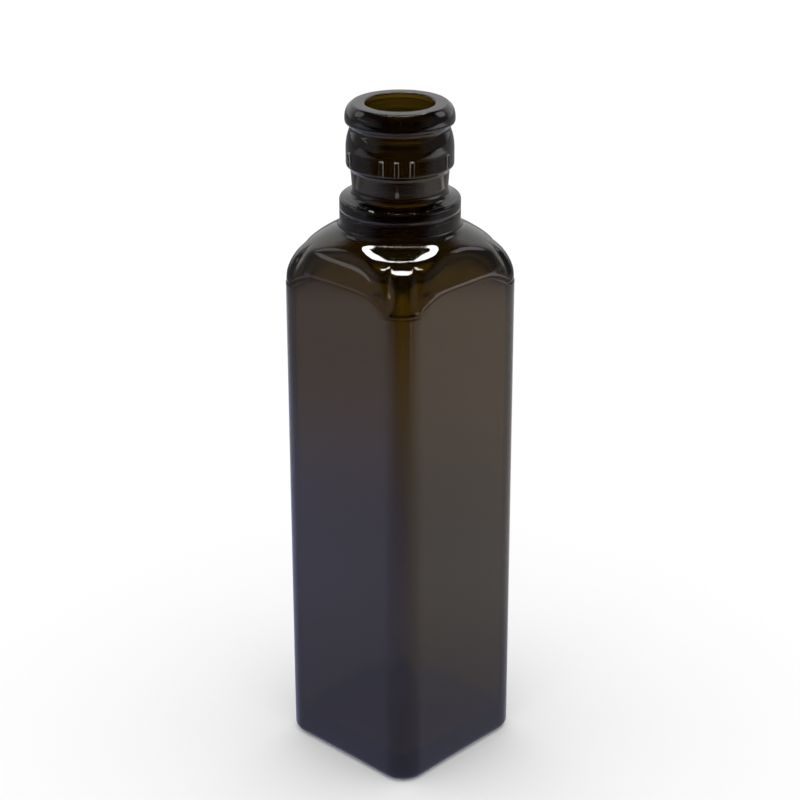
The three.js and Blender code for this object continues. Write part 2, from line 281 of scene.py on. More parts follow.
class BottleSizes(bpy.types.PropertyGroup):
    """Sizes of the bottle, from the frame where the frame gives them."""

    width: bpy.props.FloatProperty(
        name="Width",
        description="Width of the square body",
        default=CAD_BOX[1].x - CAD_BOX[0].x,
        unit="LENGTH",
    )
    height: bpy.props.FloatProperty(
        name="Height",
        description="Height to the top of the lip",
        default=CAD_BOX[1].z,
        unit="LENGTH",
    )
    corner_radius: bpy.props.FloatProperty(
        name="Corner radius",
        description="Radius of the body's upright corners",
        default=7 * MM,
        unit="LENGTH",
    )
    wall: bpy.props.FloatProperty(
        name="Wall",
        description="Thickness of the glass in the body",
        default=3 * MM,
        unit="LENGTH",
    )
    dome_arc: bpy.props.FloatProperty(
        name="Shoulder arc",
        description="Radius of the arc that starts the shoulder",
        default=12.7 * MM,
        unit="LENGTH",
    )
    arch_top: bpy.props.FloatProperty(
        name="Arch top",
        description="Height of the arched line on a face",
        default=144.5 * MM,
        unit="LENGTH",
    )
    collar_radius: bpy.props.FloatProperty(
        name="Collar radius",
        description="Radius of the collar's side",
        default=16.3 * MM,
        unit="LENGTH",
    )
    neck_radius: bpy.props.FloatProperty(
        name="Neck radius",
        description="Radius of the neck under the band",
        default=12.9 * MM,
        unit="LENGTH",
    )
    band_radius: bpy.props.FloatProperty(
        name="Band radius",
        description="Radius of the band with the teeth",
        default=14.45 * MM,
        unit="LENGTH",
    )
    lip_radius: bpy.props.FloatProperty(
        name="Lip radius",
        description="Radius of the lip at its widest",
        default=14.7 * MM,
        unit="LENGTH",
    )
    bore_radius: bpy.props.FloatProperty(
        name="Bore radius",
        description="Radius of the mouth's bore",
        default=9.25 * MM,
        unit="LENGTH",
    )
    tooth_relief: bpy.props.FloatProperty(
        name="Tooth relief",
        description="How far a tooth stands out of the band",
        default=0.5 * MM,
        unit="LENGTH",
    )


class GlassLook(bpy.types.PropertyGroup):
    """The glass: what it lets through, and how its surface bends and scatters light."""

    tint: bpy.props.FloatVectorProperty(
        name="Tint",
        description="Colour that the glass leaves in the light",
        subtype="COLOR",
        size=3,
        default=(0.583, 0.5, 0.083),
        min=0,
        max=1,
    )
    density: bpy.props.FloatProperty(
        name="Density",
        description="How strongly the glass absorbs light, per metre",
        default=1200,
        min=0,
    )
    refraction: bpy.props.FloatProperty(
        name="Refraction",
        description="Index of refraction of bottle glass",
        default=1.52,
        min=1,
        max=2,
    )
    ripple: bpy.props.FloatProperty(
        name="Ripple",
        description="Height of the soft ripples on the surface",
        default=0.05 * MM,
        unit="LENGTH",
    )
    # Strength of the highlight painted on the edges of the teeth and on the pip
    painted_glint: bpy.props.FloatProperty(
        name="Glint",
        description="How pale the edges of the teeth and the pip are",
        default=0.19,
        min=0,
        max=1,
    )


class StudioLook(bpy.types.PropertyGroup):
    """The pale floor and the soft light."""

    surround: bpy.props.FloatProperty(
        name="Surround",
        description="Brightness of the white surround",
        default=1.12,
        min=0,
    )
    backdrop: bpy.props.FloatProperty(
        name="Backdrop",
        description="Brightness of the backdrop in the glass",
        default=0.75,
        min=0,
    )
    left_wall: bpy.props.FloatProperty(
        name="Left wall",
        description="Brightness of the room on the left",
        default=0.25,
        min=0,
    )
    right_wall: bpy.props.FloatProperty(
        name="Right wall",
        description="Brightness of the room on the right",
        default=0.14,
        min=0,
    )
    darkness: bpy.props.FloatProperty(
        name="Darkness",
        description="Light that comes from the rest of the room",
        default=0.015,
        min=0,
    )
    softbox: bpy.props.FloatProperty(
        name="Softboxes",
        description="Brightness of the softboxes in reflections",
        default=25.0,
        min=0,
    )


def rounded_square_radius(half_width, corner_radius, angle):
    """Distance from the axis to a rounded square, at an angle from the nearest face's normal."""
    flat_half = half_width - corner_radius
    corner_centre = flat_half * math.sqrt(2)
    across = corner_centre * np.sin(EIGHTH - angle)
    corner = corner_centre * np.cos(EIGHTH - angle)
    corner = corner + np.sqrt(np.maximum(corner_radius**2 - across**2, 0))
    on_face = half_width * np.tan(angle) <= flat_half
    return np.where(on_face, half_width / np.cos(angle), corner)


def smooth_step(value):
    """A soft change from 0 to 1."""
    clipped = np.clip(value, 0, 1)
    return clipped * clipped * (3 - 2 * clipped)


def soft_minimum(first, second, softness):
    """The smaller of two radii, with a rounded change-over."""
    share = np.clip(0.5 + (second - first) / (2 * softness), 0, 1)
    return second + (first - second) * share - softness * share * (1 - share)


class BodySkin:
    """One skin of the body and shoulder, outside or inside."""

    def __init__(self, sizes, half_width, corner_radius, inset):
        self.half_width = half_width
        self.corner_radius = corner_radius
        self.arch_top = sizes.arch_top
        self.facet_arc_radius = FACET_ARC_RADIUS - inset
        self.diagonal = float(rounded_square_radius(half_width, corner_radius, EIGHTH))
        self.arc_radius = sizes.dome_arc - inset
        self.arc_end_radius = self.diagonal - self.arc_radius * (1 - math.cos(DOME_ARC_TURN))
        self.arc_end_height = DOME_START + self.arc_radius * math.sin(DOME_ARC_TURN)
        self.cone_arc_radius = CONE_ARC_RADIUS - inset
        cone_fall = self.cone_arc_radius * (math.cos(DOME_ARC_TURN) - math.cos(CONE_ARC_TURN))
        cone_rise = self.cone_arc_radius * (math.sin(CONE_ARC_TURN) - math.sin(DOME_ARC_TURN))
        self.cone_radius = self.arc_end_radius - cone_fall
        self.cone_height = self.arc_end_height + cone_rise

    def outline_radius(self, angle):
        return rounded_square_radius(self.half_width, self.corner_radius, angle)

    def dome_radius(self, height):
        """Radius of the turned dome: a tight arc up from the corner, a flat arc, then a cone."""
        if height >= self.cone_height:
            return self.cone_radius - (height - self.cone_height) * math.tan(CONE_ARC_TURN)
        if height >= self.arc_end_height:
            sine = math.sin(DOME_ARC_TURN) + (height - self.arc_end_height) / self.cone_arc_radius
            fall = math.cos(DOME_ARC_TURN) - math.sqrt(1 - sine**2)
            return self.arc_end_radius - self.cone_arc_radius * fall
        sine = (height - DOME_START) / self.arc_radius
        return self.diagonal - self.arc_radius * (1 - math.sqrt(1 - sine**2))

    def height_at_dome_radius(self, radius):
        return self.cone_height + (self.cone_radius - radius) / math.tan(CONE_ARC_TURN)

    def facet_radius(self, angle, height):
        """Radius of the leaning facet over the nearest face, which starts at the arched line."""
        across_share = np.minimum(np.tan(angle) / ARCH_REACH_SHARE, 1)
        above_arch = height - self.arch_top + ARCH_DROP * across_share**ARCH_POWER
        sine = np.minimum(math.sin(FACET_LEAN) + above_arch / self.facet_arc_radius, STEEPEST_SINE)
        drop = self.facet_arc_radius * (math.cos(FACET_LEAN) - np.sqrt(1 - sine**2))
        return (self.half_width - drop) / np.cos(angle)

    def corner_section_radius(self, angle):
        """The corner's own arc seen from above, carried on past the face as a straight line."""
        centre = (self.half_width - self.corner_radius) * math.sqrt(2)
        from_corner = EIGHTH - angle
        across = centre * np.sin(from_corner)
        along = np.sqrt(np.maximum(self.corner_radius**2 - across**2, 0))
        arc = centre * np.cos(from_corner) + along
        end_across = self.corner_radius * math.sin(RIDGE_ARC_END)
        end_along = centre + self.corner_radius * math.cos(RIDGE_ARC_END)
        line_distance = centre * math.cos(RIDGE_ARC_END) + self.corner_radius
        line = line_distance / np.cos(RIDGE_ARC_END - from_corner)
        return np.where(from_corner <= math.atan2(end_across, end_along), arc, line)

    def shoulder_radius(self, angle, height):
        """The least of the upright face, the leaning facet and the rounded ridge over the corner."""
        dome = self.dome_radius(height)
        share = smooth_step((height - RIDGE_BLEND_START) / (RIDGE_BLEND_END - RIDGE_BLEND_START))
        corner = self.corner_section_radius(angle) - (self.diagonal - dome)
        ridge = (1 - share) * corner + share * dome
        facet = self.facet_radius(angle, height)
        panel = soft_minimum(self.outline_radius(angle), facet, ARCH_SOFTNESS)
        return soft_minimum(panel, ridge, RIDGE_SOFTNESS)


class TurnedOutline:
    """A turned outline of lines and curves, as radius against height."""

    def __init__(self, radius, height):
        self.points = [(radius, height)]

    def line(self, radius, height):
        self.points.append((radius, height))

    def curve(self, control, end):
        start = self.points[-1]
        for step in range(1, CURVE_STEPS + 1):
            t = step / CURVE_STEPS
            weights = ((1 - t) ** 2, 2 * t * (1 - t), t * t)
            radius = sum(w * p[0] for w, p in zip(weights, (start, control, end)))
            height = sum(w * p[1] for w, p in zip(weights, (start, control, end)))
            self.points.append((radius, height))

    def divide(self, spacing, fine_heights=()):
        """Put more points between those that lie too far apart, or only near the given heights."""
        result = self.points[:1]
        for (r0, z0), (r1, z1) in zip(self.points, self.points[1:]):
            middle = (z0 + z1) / 2
            near_fine = any(abs(middle - height) < FINE_REACH for height in fine_heights)
            count = 1
            if near_fine or not fine_heights:
                count = max(1, math.ceil(math.hypot(r1 - r0, z1 - z0) / spacing))
            for step in range(1, count + 1):
                t = step / count
                result.append((r0 + (r1 - r0) * t, z0 + (z1 - z0) * t))
        self.points = result


def outside_outline(sizes, skin):
    """The collar, neck, band and lip, from the shoulder to the top of the bore."""
    cone = skin.height_at_dome_radius
    collar = sizes.collar_radius
    neck = sizes.neck_radius
    band = sizes.band_radius
    lip = sizes.lip_radius
    land = COLLAR_TOP + COLLAR_TOP_RISE
    outline = TurnedOutline(COLLAR_FOOT_RADIUS, cone(COLLAR_FOOT_RADIUS))
    outline.curve((collar, cone(collar)), (collar, COLLAR_SIDE_START))
    outline.line(collar, COLLAR_GROOVE_HEIGHT - COLLAR_GROOVE_DEPTH)
    outline.line(collar - COLLAR_GROOVE_DEPTH, COLLAR_GROOVE_HEIGHT)
    outline.line(collar, COLLAR_GROOVE_HEIGHT + COLLAR_GROOVE_DEPTH)
    outline.line(collar, COLLAR_TOP - COLLAR_EDGE_RADIUS)
    outline.curve((collar, COLLAR_TOP), (collar - COLLAR_EDGE_RADIUS, COLLAR_TOP))
    outline.line(neck + NECK_FILLET_REACH, land)
    outline.curve((neck, land), (neck, NECK_FILLET_TOP))
    outline.line(neck + NECK_TAPER, BAND_BOTTOM - BAND_UNDER_FILLET)
    outline.line(neck + BAND_UNDER_FILLET, BAND_BOTTOM)
    outline.curve((band, BAND_BOTTOM), (band, BAND_BOTTOM + BAND_EDGE_RADIUS))
    outline.line(band, BAND_CURVE_START)
    outline.curve((band, BAND_CURVE_KNEE), (BAND_TOP_RADIUS, BAND_TOP))
    outline.line(GROOVE_RADIUS, GROOVE_HEIGHT)
    outline.line(LIP_BOTTOM_RADIUS, LIP_BOTTOM)
    outline.curve((lip, LIP_BOTTOM), (lip, LIP_WIDEST))
    outline.curve((lip, LIP_KNEE), (LIP_EDGE_RADIUS, LIP_EDGE_HEIGHT))
    crown_middle = (LIP_EDGE_RADIUS + LIP_CROWN_RADIUS) / 2
    outline.curve((crown_middle, sizes.height), (LIP_CROWN_RADIUS, sizes.height))
    outline.line(RIM_RADIUS, sizes.height)
    outline.curve((sizes.bore_radius, sizes.height), (sizes.bore_radius, BORE_TOP))
    return outline


def inside_outline(sizes, skin):
    """The inside from the shoulder up the neck to the top of the bore."""
    cone = skin.height_at_dome_radius
    outline = TurnedOutline(NECK_FLARE_END_RADIUS, cone(NECK_FLARE_END_RADIUS))
    control = (NECK_INSIDE_RADIUS, cone(NECK_INSIDE_RADIUS))
    outline.curve(control, (NECK_INSIDE_RADIUS, NECK_FLARE_START))
    outline.line(NECK_INSIDE_RADIUS, NECK_INSIDE_TOP)
    outline.line(sizes.bore_radius, BORE_BOTTOM)
    return outline


def ring_azimuths():
    """Directions round the axis: closer at the corners, and closest at the teeth, pip and seams."""
    marks = []
    for quarter in range(4):
        centre = quarter * QUARTER
        for sign in (-1, 1):
            marks += [centre + sign * a for a in np.arange(0, CORNER_ZONE, FACE_STEP)]
            marks += [centre + sign * a for a in np.arange(CORNER_ZONE, EIGHTH, CORNER_STEP)]
        marks.append(centre + EIGHTH)
    tooth_half = TOOTH_WIDTH / 2 / TOOTH_FROM_AXIS
    tooth_edge = TOOTH_EDGE / TOOTH_FROM_AXIS
    for angle in TOOTH_ANGLES:
        for sign in (-1, 1):
            edge = TOOTH_MIDDLE_ANGLE + angle + sign * tooth_half
            marks += [edge + share * tooth_edge for share in EDGE_MARKS]
    marks += [PIP_ANGLE + step * PIP_STEP for step in range(-PIP_STEPS, PIP_STEPS + 1)]
    for angle in SEAM_ANGLES:
        marks += [angle + share * SEAM_HALF_WIDTH / SEAM_FROM_AXIS for share in EDGE_MARKS]
    ordered = np.sort(np.mod(np.array(marks), 4 * QUARTER))
    keep = np.concatenate([[True], np.diff(ordered) > CLOSEST_STEP])
    return ordered[keep]


def angle_between(first, second):
    """Signed angle from the second direction to the first."""
    return np.mod(first - second + math.pi, 2 * math.pi) - math.pi


def tooth_relief(sizes, azimuth, height):
    """How far the teeth stand out: flat blocks with a short soft edge and a sharp ledge on top."""
    from_bottom = smooth_step((height - TOOTH_BOTTOM) / TOOTH_EDGE)
    from_top = smooth_step((TOOTH_TOP - height) / TOOTH_LEDGE)
    relief = np.zeros_like(azimuth)
    for angle in TOOTH_ANGLES:
        away = np.abs(angle_between(azimuth, TOOTH_MIDDLE_ANGLE + angle)) * sizes.band_radius
        across = smooth_step((TOOTH_WIDTH / 2 + TOOTH_EDGE / 2 - away) / TOOTH_EDGE)
        relief = np.maximum(relief, across)
    return sizes.tooth_relief * relief * (from_bottom * from_top)


def tooth_edge_glint(relief_share):
    """Share of painted highlight on a tooth: none at its foot and on its front, and 1 halfway up its
    edge.
    """
    return 4 * relief_share * (1 - relief_share)


def pip_relief(sizes, azimuth, height):
    """A small raised oval pip on the neck."""
    across = angle_between(azimuth, PIP_ANGLE) * sizes.neck_radius / PIP_HALF_WIDTH
    along = (height - PIP_HEIGHT) / PIP_HALF_HEIGHT
    return PIP_RELIEF * np.exp(-((across**2 + along**2) ** 2))


def seam_relief(azimuth, height):
    """The parting seam on two corners, clearest under the shoulder and fading down the body."""
    fade = math.exp(-max(SEAM_TOP - height, 0) / SEAM_FADE)
    relief = np.zeros_like(azimuth)
    for angle in SEAM_ANGLES:
        away = np.abs(angle_between(azimuth, angle)) * SEAM_FROM_AXIS
        relief = np.maximum(relief, smooth_step(1 - away / SEAM_HALF_WIDTH))
    return SEAM_RELIEF * relief * fade


class Rings:
    """Rows of points round the axis: a height, and the radius and the share of painted highlight in
    every direction.
    """

    def __init__(self, azimuths):
        self.azimuths = azimuths
        self.from_face = np.abs(np.mod(azimuths + EIGHTH, QUARTER) - EIGHTH)
        self.rows = []

    def add(self, height, radius, painted_glint=0):
        shape = self.azimuths.shape
        self.rows.append((height, np.broadcast_to(radius, shape), np.broadcast_to(painted_glint, shape)))


def add_floor(rings, skin, inset, rim_height):
    """A shallow dome of rings: the hollow under the base, or the floor inside."""
    for step in range(1, FLOOR_STEPS + 1):
        share = step / FLOOR_STEPS
        height = rim_height + PUSH_UP * (1 - share**2)
        rings.add(height, share * (skin.outline_radius(rings.from_face) - inset))


def add_heel(rings, skin, radius, floor):
    """The rounded edge between the floor and the straight sides."""
    outline = skin.outline_radius(rings.from_face)
    for step in range(HEEL_STEPS + 1):
        turn = QUARTER * step / HEEL_STEPS
        rings.add(floor + radius * (1 - math.cos(turn)), outline - radius * (1 - math.sin(turn)))


def add_sides(rings, skin, bottom, with_seam):
    """The straight sides of the body between the heel and the shoulder."""
    outline = skin.outline_radius(rings.from_face)
    count = math.ceil((DOME_START - bottom) / BODY_SPACING)
    heights = [bottom + (DOME_START - bottom) * step / count for step in range(1, count)]
    for height in (*heights, DOME_START - 2 * FINE_REACH, DOME_START - FINE_REACH, DOME_START):
        relief = seam_relief(rings.azimuths, height) if with_seam else 0
        rings.add(height, outline + relief)


def add_shoulder(rings, skin, bottom, top, steps):
    """Rows of the shoulder, evenly spaced between two heights."""
    for step in range(1, steps + 1):
        height = bottom + (top - bottom) * step / steps
        rings.add(height, skin.shoulder_radius(rings.from_face, height))


def glass_rows(sizes):
    """All rows of the closed skin, from the base up the outside, over the lip and down the inside."""
    azimuths = ring_azimuths()
    half = sizes.width / 2
    outer = BodySkin(sizes, half, sizes.corner_radius, 0)
    inner = BodySkin(sizes, half - sizes.wall, INSIDE_CORNER_RADIUS, sizes.wall)
    outside = Rings(azimuths)
    add_floor(outside, outer, HEEL_RADIUS + FOOT_RING_WIDTH, 0)
    add_heel(outside, outer, HEEL_RADIUS, 0)
    add_sides(outside, outer, HEEL_RADIUS, True)
    add_shoulder(outside, outer, DOME_START, ARCH_ZONE_TOP, ARCH_ZONE_STEPS)
    collar_foot = outer.height_at_dome_radius(COLLAR_FOOT_RADIUS)
    add_shoulder(outside, outer, ARCH_ZONE_TOP, collar_foot, SHOULDER_STEPS)
    finish = outside_outline(sizes, outer)
    finish.divide(FINISH_SPACING)
    finish.divide(FINE_SPACING, (TOOTH_BOTTOM + TOOTH_EDGE / 2, TOOTH_TOP - TOOTH_LEDGE / 2))
    for radius, height in finish.points[1:]:
        relief = 0
        painted_glint = 0
        # The teeth and the pip carry a share of painted highlight, which the glass material turns pale
        if TOOTH_BOTTOM < height < TOOTH_TOP + TOOTH_EDGE:
            relief = tooth_relief(sizes, azimuths, height)
            painted_glint = tooth_edge_glint(relief / sizes.tooth_relief)
        elif abs(height - PIP_HEIGHT) < 2 * PIP_HALF_HEIGHT:
            relief = pip_relief(sizes, azimuths, height)
            painted_glint = PIP_GLINT * relief / PIP_RELIEF
        outside.add(height, radius + relief, painted_glint)
    inside = Rings(azimuths)
    add_floor(inside, inner, INSIDE_HEEL_RADIUS + INSIDE_FLOOR_MARGIN, BASE_GLASS)
    add_heel(inside, inner, INSIDE_HEEL_RADIUS, BASE_GLASS)
    add_sides(inside, inner, BASE_GLASS + INSIDE_HEEL_RADIUS, False)
    flare_end = inner.height_at_dome_radius(NECK_FLARE_END_RADIUS)
    add_shoulder(inside, inner, DOME_START, flare_end, INSIDE_SHOULDER_STEPS)
    bore = inside_outline(sizes, inner)
    bore.divide(2 * FINISH_SPACING)
    for radius, height in bore.points[1:]:
        inside.add(height, radius)
    return azimuths, outside.rows + inside.rows[::-1]


def closed_skin(name, azimuths, rows, bottom_centre, floor_centre):
    """A mesh through all rows, closed by a fan at the base and one at the floor inside."""
    count = len(azimuths)
    heights = np.array([row[0] for row in rows])
    radii = np.array([row[1] for row in rows])
    x = radii * np.cos(azimuths)
    y = radii * np.sin(azimuths)
    z = np.broadcast_to(heights[:, None], radii.shape)
    points = np.stack([x, y, z], axis=-1).reshape(-1, 3)
    points = np.concatenate([points, [bottom_centre, floor_centre]])
    bottom_index = len(points) - 2
    floor_index = len(points) - 1
    last = (len(rows) - 1) * count
    faces = []
    for index in range(count):
        following = (index + 1) % count
        faces.append((bottom_index, following, index))
        faces.append((floor_index, last + index, last + following))
        for row in range(len(rows) - 1):
            lower = row * count
            upper = lower + count
            faces.append((lower + index, lower + following, upper + following, upper + index))
    mesh = bpy.data.meshes.new(name)
    mesh.from_pydata(points.tolist(), [], faces)
    mesh.shade_smooth()
    # The share of painted highlight at every point, kept as a mesh attribute for the glass material
    painted_glint = np.array([row[2] for row in rows]).reshape(-1)
    attribute = mesh.attributes.new("painted_glint", "FLOAT", "POINT")
    attribute.data.foreach_set("value", np.concatenate([painted_glint, [0, 0]]))
    return mesh


def put_in_scene(name, mesh):
    """An object at the origin that shows a mesh."""
    piece = bpy.data.objects.new(name, mesh)
    bpy.context.scene.collection.objects.link(piece)
    return piece


def new_material(name):
    """A material with an empty node tree, and the tree's nodes and links."""
    material = bpy.data.materials.new(name)
    material.use_nodes = True
    nodes = material.node_tree.nodes
    nodes.clear()
    return material, nodes, material.node_tree.links


def bottle_glass(look):
    """Clear glass with its colour in its depth, faint ripples and smears, and a pale painted highlight
    on the edges of the teeth and on the pip.
    """
    material, nodes, links = new_material("bottle_glass")
    output = nodes.new("ShaderNodeOutputMaterial")
    shader = nodes.new("ShaderNodeBsdfPrincipled")
    shader.inputs["Base Color"].default_value = (*WHITE, 1)
    shader.inputs["Transmission Weight"].default_value = 1
    shader.inputs["IOR"].default_value = look.refraction
    depth = nodes.new("ShaderNodeVolumeAbsorption")
    depth.inputs["Color"].default_value = (*look.tint, 1)
    depth.inputs["Density"].default_value = look.density
    place = nodes.new("ShaderNodeTexCoord")
    ripples = nodes.new("ShaderNodeTexNoise")
    ripples.inputs["Scale"].default_value = RIPPLE_SCALE
    ripples.inputs["Detail"].default_value = RIPPLE_DETAIL
    smears = nodes.new("ShaderNodeTexNoise")
    smears.inputs["Scale"].default_value = SMEAR_SCALE
    smears.inputs["Detail"].default_value = SMEAR_DETAIL
    roughness = nodes.new("ShaderNodeMapRange")
    roughness.inputs["To Min"].default_value = SMOOTHEST
    roughness.inputs["To Max"].default_value = ROUGHEST
    bump = nodes.new("ShaderNodeBump")
    bump.inputs["Strength"].default_value = RIPPLE_STRENGTH
    bump.inputs["Distance"].default_value = look.ripple
    links.new(place.outputs["Object"], ripples.inputs["Vector"])
    links.new(place.outputs["Object"], smears.inputs["Vector"])
    links.new(smears.outputs["Fac"], roughness.inputs["Value"])
    links.new(roughness.outputs["Result"], shader.inputs["Roughness"])
    links.new(ripples.outputs["Fac"], bump.inputs["Height"])
    links.new(bump.outputs["Normal"], shader.inputs["Normal"])
    # A matt pale shader mixed in by that attribute: a painted highlight on the edges of the teeth and
    # on the pip
    glint_shader = nodes.new("ShaderNodeBsdfDiffuse")
    glint_shader.inputs["Color"].default_value = (*PAINTED_GLINT_COLOUR, 1)
    painted_glint = nodes.new("ShaderNodeAttribute")
    painted_glint.attribute_name = "painted_glint"
    amount = nodes.new("ShaderNodeMath")
    amount.operation = "MULTIPLY"
    amount.inputs[1].default_value = look.painted_glint
    surface = nodes.new("ShaderNodeMixShader")
    links.new(painted_glint.outputs["Fac"], amount.inputs[0])
    links.new(amount.outputs["Value"], surface.inputs["Fac"])
    links.new(shader.outputs["BSDF"], surface.inputs[1])
    links.new(glint_shader.outputs["BSDF"], surface.inputs[2])
    links.new(surface.outputs["Shader"], output.inputs["Surface"])
    links.new(depth.outputs["Volume"], output.inputs["Volume"])
    return material


class BOTTLE_OT_glass(bpy.types.Operator):
    """Make the glass bottle and put it in the frame's place"""

    bl_idname = "bottle.glass"
    bl_label = "Glass bottle"

    def execute(self, context):
        sizes = context.scene.bottle_sizes
        azimuths, rows = glass_rows(sizes)
        bottom_centre = (0, 0, PUSH_UP)
        floor_centre = (0, 0, BASE_GLASS + PUSH_UP)
        mesh = closed_skin("glass_bottle", azimuths, rows, bottom_centre, floor_centre)
        piece = put_in_scene("glass_bottle", mesh)
        mesh.materials.append(bottle_glass(context.scene.glass_look))
        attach(piece, "root")
        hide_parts("bottle")
        return {"FINISHED"}


def flat_card(name, corners):
    """A four-sided card through its corners."""
    mesh = bpy.data.meshes.new(name)
    mesh.from_pydata([tuple(corner) for corner in corners], [], [(0, 1, 2, 3)])
    return put_in_scene(name, mesh)


def square_card(name, reach, height):
    """A level square card round the bottle's axis."""
    return flat_card(name, [(reach * x, reach * y, height) for x, y in CARD_CORNERS])


def seen_only_by(piece, camera=False, diffuse=False, glossy=False, transmission=False):
    """Hide a stage piece from every kind of light path but those that are named."""
    piece.visible_camera = camera
    piece.visible_diffuse = diffuse
    piece.visible_glossy = glossy
    piece.visible_transmission = transmission
    piece.visible_volume_scatter = False


def studio_direction(side, back, up):
    """A direction given from where the camera stands: to the right, away, and up."""
    right = Vector((math.cos(CAMERA_AZIMUTH), math.sin(CAMERA_AZIMUTH), 0))
    away = Vector((-math.sin(CAMERA_AZIMUTH), math.cos(CAMERA_AZIMUTH), 0))
    return right * side + away * back + Vector((0, 0, up))


def face_the_camera(piece):
    """Turn a stage piece so that its own X is the camera's right and its Y points away."""
    piece.rotation_euler = (0, 0, CAMERA_AZIMUTH)


def glow(name, colour, strength):
    """A plain glowing material, with its emission node for those that vary it."""
    material, nodes, links = new_material(name)
    output = nodes.new("ShaderNodeOutputMaterial")
    light = nodes.new("ShaderNodeEmission")
    light.inputs["Color"].default_value = (*colour, 1)
    light.inputs["Strength"].default_value = strength
    links.new(light.outputs["Emission"], output.inputs["Surface"])
    material.cycles.emission_sampling = "NONE"
    return material, nodes, links, light


class GlowPattern:
    """A glow that is brighter in some places of its stage piece than in others."""

    def __init__(self, name):
        self.material, self.nodes, self.links, self.light = glow(name, WHITE, 1)
        place = self.nodes.new("ShaderNodeTexCoord").outputs["Object"]
        parts = self.nodes.new("ShaderNodeSeparateXYZ")
        self.links.new(place, parts.inputs["Vector"])
        self.side, self.away, self.up = parts.outputs
        length = self.nodes.new("ShaderNodeVectorMath")
        length.operation = "LENGTH"
        self.links.new(place, length.inputs[0])
        self.distance = length.outputs["Value"]

    def fade(self, value, fade):
        """A smooth change from the fade's start to its end while a value goes from low to high."""
        node = self.nodes.new("ShaderNodeMapRange")
        node.interpolation_type = "SMOOTHSTEP"
        node.inputs["From Min"].default_value = fade.low
        node.inputs["From Max"].default_value = fade.high
        node.inputs["To Min"].default_value = fade.start
        node.inputs["To Max"].default_value = fade.end
        self.links.new(value, node.inputs["Value"])
        return node.outputs["Result"]

    def combine(self, operation, first, *others):
        """All the values put together by one operation."""
        result = first
        for value in others:
            node = self.nodes.new("ShaderNodeMath")
            node.operation = operation
            self.links.new(result, node.inputs[0])
            self.links.new(value, node.inputs[1])
            result = node.outputs["Value"]
        return result

    def product(self, *values):
        return self.combine("MULTIPLY", *values)

    def total(self, *values):
        return self.combine("ADD", *values)

    def plus(self, value, number):
        """A value with the same number added everywhere."""
        node = self.nodes.new("ShaderNodeMath")
        node.operation = "ADD"
        node.inputs[1].default_value = number
        self.links.new(value, node.inputs[0])
        return node.outputs["Value"]

    def set_strength(self, value):
        self.links.new(value, self.light.inputs["Strength"])

    def set_colour(self, first, second, share):
        """A colour between two, by a share that changes from place to place."""
        mix = self.nodes.new("ShaderNodeMix")
        mix.data_type = "RGBA"
        mix.inputs["A"].default_value = (*first, 1)
        mix.inputs["B"].default_value = (*second, 1)
        self.links.new(share, mix.inputs["Factor"])
        self.links.new(mix.outputs["Result"], self.light.inputs["Color"])


def soft_light(light, brightness):
    """A glowing card that faces the bottle's shoulder and shows only in reflections."""
    middle = studio_direction(*light.middle)
    facing = (Vector((0, 0, LIGHT_TARGET_HEIGHT)) - middle).normalized()
    across = studio_direction(1, 0, 0)
    across = (across - facing * across.dot(facing)).normalized()
    along = across.cross(facing).normalized()
    corners = [
        middle + across * (light.width / 2 * x) + along * (light.length / 2 * y)
        for x, y in CARD_CORNERS
    ]
    card = flat_card(light.name, corners)
    card.data.materials.append(glow(light.name, light.colour, light.share * brightness)[0])
    seen_only_by(card, glossy=True)


def ring_light(brightness):
    """A half ring overhead, open to the back and wider at both sides, seen only in reflections."""
    points = []
    for step in range(RING_LIGHT_STEPS + 1):
        turn = math.pi * (step / RING_LIGHT_STEPS - 1)
        past_start = abs(math.cos(turn)) - RING_LIGHT_WIDENS_AT
        widening = float(smooth_step(past_start / RING_LIGHT_WIDENS_OVER))
        thickness = RING_LIGHT_THIN + (RING_LIGHT_WIDE - RING_LIGHT_THIN) * widening
        for reach in (RING_LIGHT_RADIUS, RING_LIGHT_RADIUS - thickness):
            side = reach * math.cos(turn)
            away = RING_LIGHT_AWAY + reach * math.sin(turn)
            points.append(tuple(studio_direction(side, away, RING_LIGHT_HEIGHT)))
    starts = range(0, 2 * RING_LIGHT_STEPS, 2)
    faces = [(start, start + 1, start + 3, start + 2) for start in starts]
    mesh = bpy.data.meshes.new("ring_light")
    mesh.from_pydata(points, [], faces)
    mesh.materials.append(glow("ring_light", WHITE, brightness)[0])
    ring = put_in_scene("ring_light", mesh)
    seen_only_by(ring, glossy=True)


def pale_floor():
    """A large matt white floor, which the camera sees."""
    floor = square_card("floor", FLOOR_REACH, 0)
    material, nodes, links = new_material("floor_white")
    output = nodes.new("ShaderNodeOutputMaterial")
    shader = nodes.new("ShaderNodeBsdfDiffuse")
    shader.inputs["Color"].default_value = (*FLOOR_WHITE, 1)
    links.new(shader.outputs["BSDF"], output.inputs["Surface"])
    floor.data.materials.append(material)
    seen_only_by(floor, camera=True, diffuse=True)


def paper_card(pattern, **seen_by):
    """A wide card just under the floor, which glows in a pattern."""
    card = square_card(pattern.material.name, PAPER_REACH, -PAPER_UNDER_FLOOR)
    face_the_camera(card)
    card.data.materials.append(pattern.material)
    seen_only_by(card, **seen_by)


